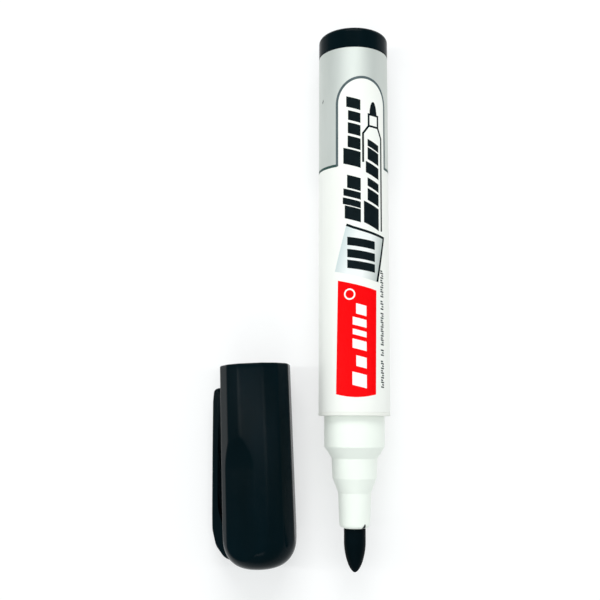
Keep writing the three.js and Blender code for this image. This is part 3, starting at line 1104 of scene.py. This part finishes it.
def cap_clip():
    outline = clip_outline()
    count = len(outline)
    area = sum(
        a.x * b.y - b.x * a.y for a, b in zip(outline, outline[1:] + outline[:1])
    )
    inward = []
    for i, here in enumerate(outline):
        along = (outline[(i + 1) % count] - outline[i - 1]).normalized()
        side = Vector((-along.y, along.x))
        inward.append(side if area > 0 else -side)
    levels = []
    steps = 5
    for i in range(steps, -1, -1):
        bend = i / steps * math.pi / 2
        levels.append((
            CLIP_HALF - CLIP_ROUNDING * (1 - math.sin(bend)),
            CLIP_ROUNDING * (1 - math.cos(bend)),
        ))
    levels += [(-z, inset) for z, inset in reversed(levels)]
    points = []
    for z, inset in levels:
        for here, side in zip(outline, inward):
            moved = here + side * inset
            points.append((moved.x, moved.y, z))
    faces = []
    for i in range(len(levels) - 1):
        for k in range(count):
            on = (k + 1) % count
            a, b = i * count, (i + 1) * count
            quad = (a + k, b + k, b + on, a + on)
            faces.append(quad if area > 0 else quad[::-1])
    front = tuple(range(count))
    back = tuple(range((len(levels) - 1) * count, len(levels) * count))
    faces.append(front if area > 0 else front[::-1])
    faces.append(back[::-1] if area > 0 else back)
    arm = mesh_piece("pocket_clip", points, faces, CAP, black_gloss, sharp=60)
    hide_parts("cap_clip")
    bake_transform(arm)


barrel()
film()
nose()
smear()
nib()
plug()
print_silver()
print_lines()
print_panel()
print_red()
print_white()
print_black()
cap_shell()
cap_liner()
cap_clip()

for node, material in (("ink_reservoir", reservoir_black), ("reservoir_wrap", wrap_clear)):
    slots = frame["nodes"][node].data.materials
    slots.clear()
    slots.append(material)


# ---- Stage: floor, light and camera ----

FLOOR_HALF = 3.0
CAMERA_AT = (22.35, -27.35, 203.28)
CAMERA_TURN = {"Y": 6.483, "X": 7.693, "Z": 0.27}  # degrees, in the order of multiplying
LENS = 52.17
SENSOR = 36


def floor():
    s = Shader("floor")
    patch = s.noise(60, detail=2)
    s.set(
        Base_Color=s.mix(s.spread(patch, 0.0, 1.0), rgb(188, 188, 188), rgb(191, 191, 191)),
        Roughness=0.85,
        Specular_IOR_Level=0.05,
        Emission_Color=(1.0, 1.0, 1.0, 1.0),
        Emission_Strength=0.44,
    )
    mesh = bpy.data.meshes.new("floor")
    half = FLOOR_HALF
    corners = [(-half, -half, 0), (half, -half, 0), (half, half, 0), (-half, half, 0)]
    mesh.from_pydata(corners, [], [(0, 1, 2, 3)])
    mesh.materials.append(s.material)
    ground = bpy.data.objects.new("floor", mesh)
    bpy.context.scene.collection.objects.link(ground)


def softbox(name, size, at, power):
    """A rectangular light in metres and watts, aimed at the middle of the floor."""
    data = bpy.data.lights.new(name, "AREA")
    data.shape = "RECTANGLE"
    data.size, data.size_y = size
    data.energy = power
    light = bpy.data.objects.new(name, data)
    light.location = at
    light.rotation_mode = "QUATERNION"
    light.rotation_quaternion = (-Vector(at)).to_track_quat("-Z", "Y")
    bpy.context.scene.collection.objects.link(light)


def world():
    made = bpy.data.worlds.new("studio")
    made.use_nodes = True
    background = made.node_tree.nodes["Background"]
    background.inputs["Color"].default_value = (0.9, 0.97, 0.98, 1)
    background.inputs["Strength"].default_value = 0.56
    bpy.context.scene.world = made


def camera():
    data = bpy.data.cameras.new("camera")
    data.sensor_width = SENSOR
    data.lens = LENS
    data.clip_start = 0.01
    data.clip_end = 10
    cam = bpy.data.objects.new("camera", data)
    bpy.context.scene.collection.objects.link(cam)
    cam.matrix_world = Matrix.Translation(Vector(CAMERA_AT) * MM)
    for axis, degrees in CAMERA_TURN.items():
        cam.matrix_world = cam.matrix_world @ Matrix.Rotation(math.radians(degrees), 4, axis)
    bpy.context.scene.camera = cam


floor()
softbox("key", (0.6, 0.3), (0.06, 0.62, 0.58), 3.6)
softbox("front", (0.5, 0.15), (0.0, -0.6, 0.6), 0.8)
softbox("left_strip", (0.02, 0.8), (-0.42, 0.0, 0.56), 1.1)
softbox("right_strip", (0.02, 0.8), (0.3, 0.0, 0.6), 0.8)
world()
camera()
bpy.context.scene.view_settings.view_transform = "Standard"
